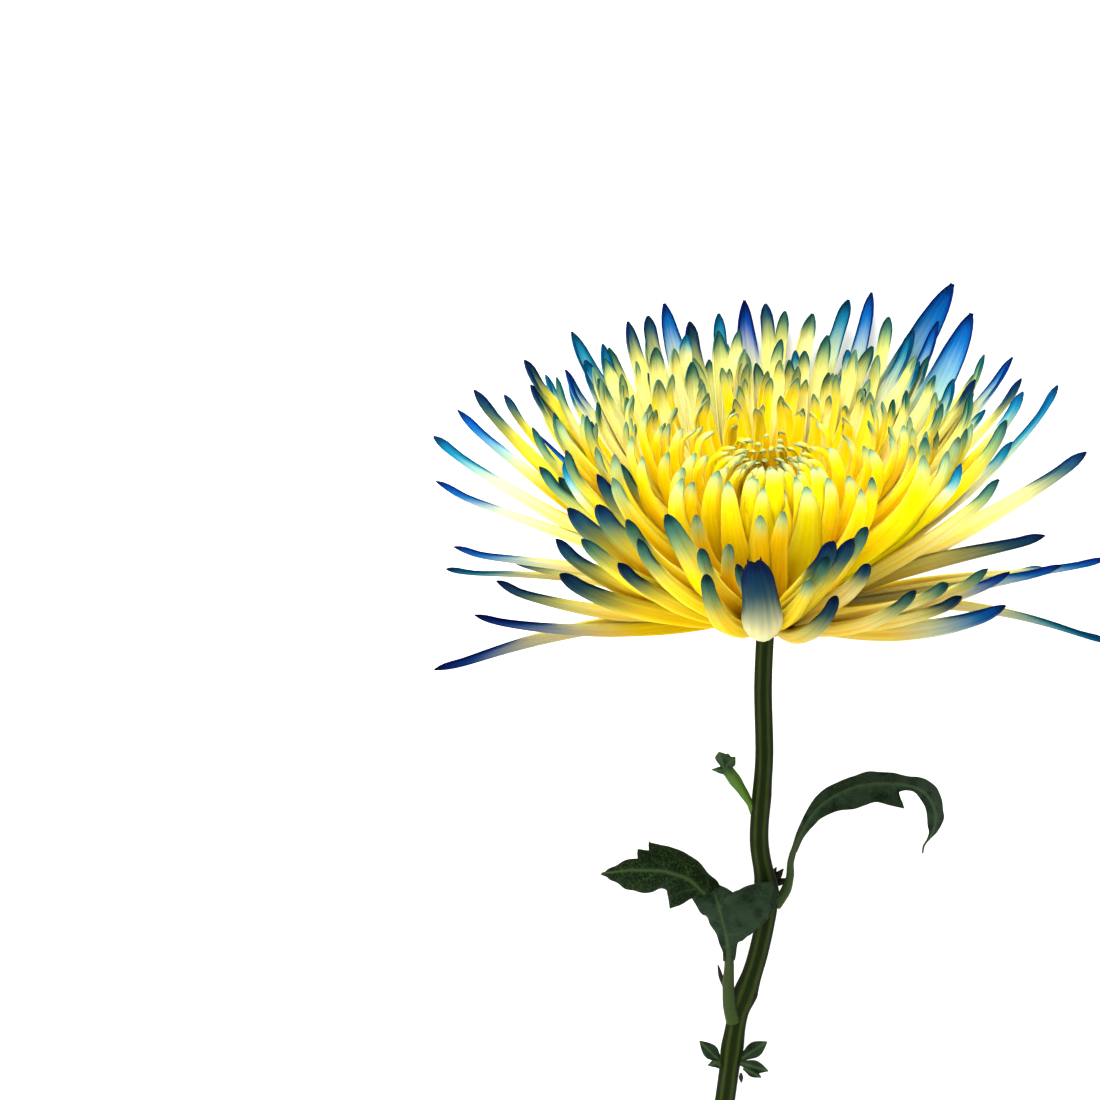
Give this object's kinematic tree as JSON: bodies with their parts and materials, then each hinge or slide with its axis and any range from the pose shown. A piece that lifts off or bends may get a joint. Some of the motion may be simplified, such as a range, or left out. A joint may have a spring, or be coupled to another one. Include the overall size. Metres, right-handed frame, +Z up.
{
  "type": "spider chrysanthemum cut flower",
  "caption": "Single cut spider chrysanthemum lying down: a wide head of long yellow petals with blue tips, a ribbed green stem with lobed leaves and a short side shoot.",
  "frame": {"origin": "middle of the flower's footprint on the surface that it lies on", "axes": "+Z up from the surface; +Y along the flower from the cut end of the stem to the head; +X to the head's right as seen from above"},
  "size_m": [0.1546, 0.2712, 0.1206],
  "materials": {
    "petals": "matte",
    "bracts": "matte",
    "stem": "matte",
    "leaves": "matte",
    "shoot": "matte"
  },
  "bodies": {
    "root": {"bloom": "petals", "involucre": "bracts", "stem": "stem", "leaf_left": "leaves", "leaf_right": "leaves", "leaflet_left": "leaves", "leaflet_right": "leaves", "side_shoot": "shoot"}
  },
  "joints": []
}
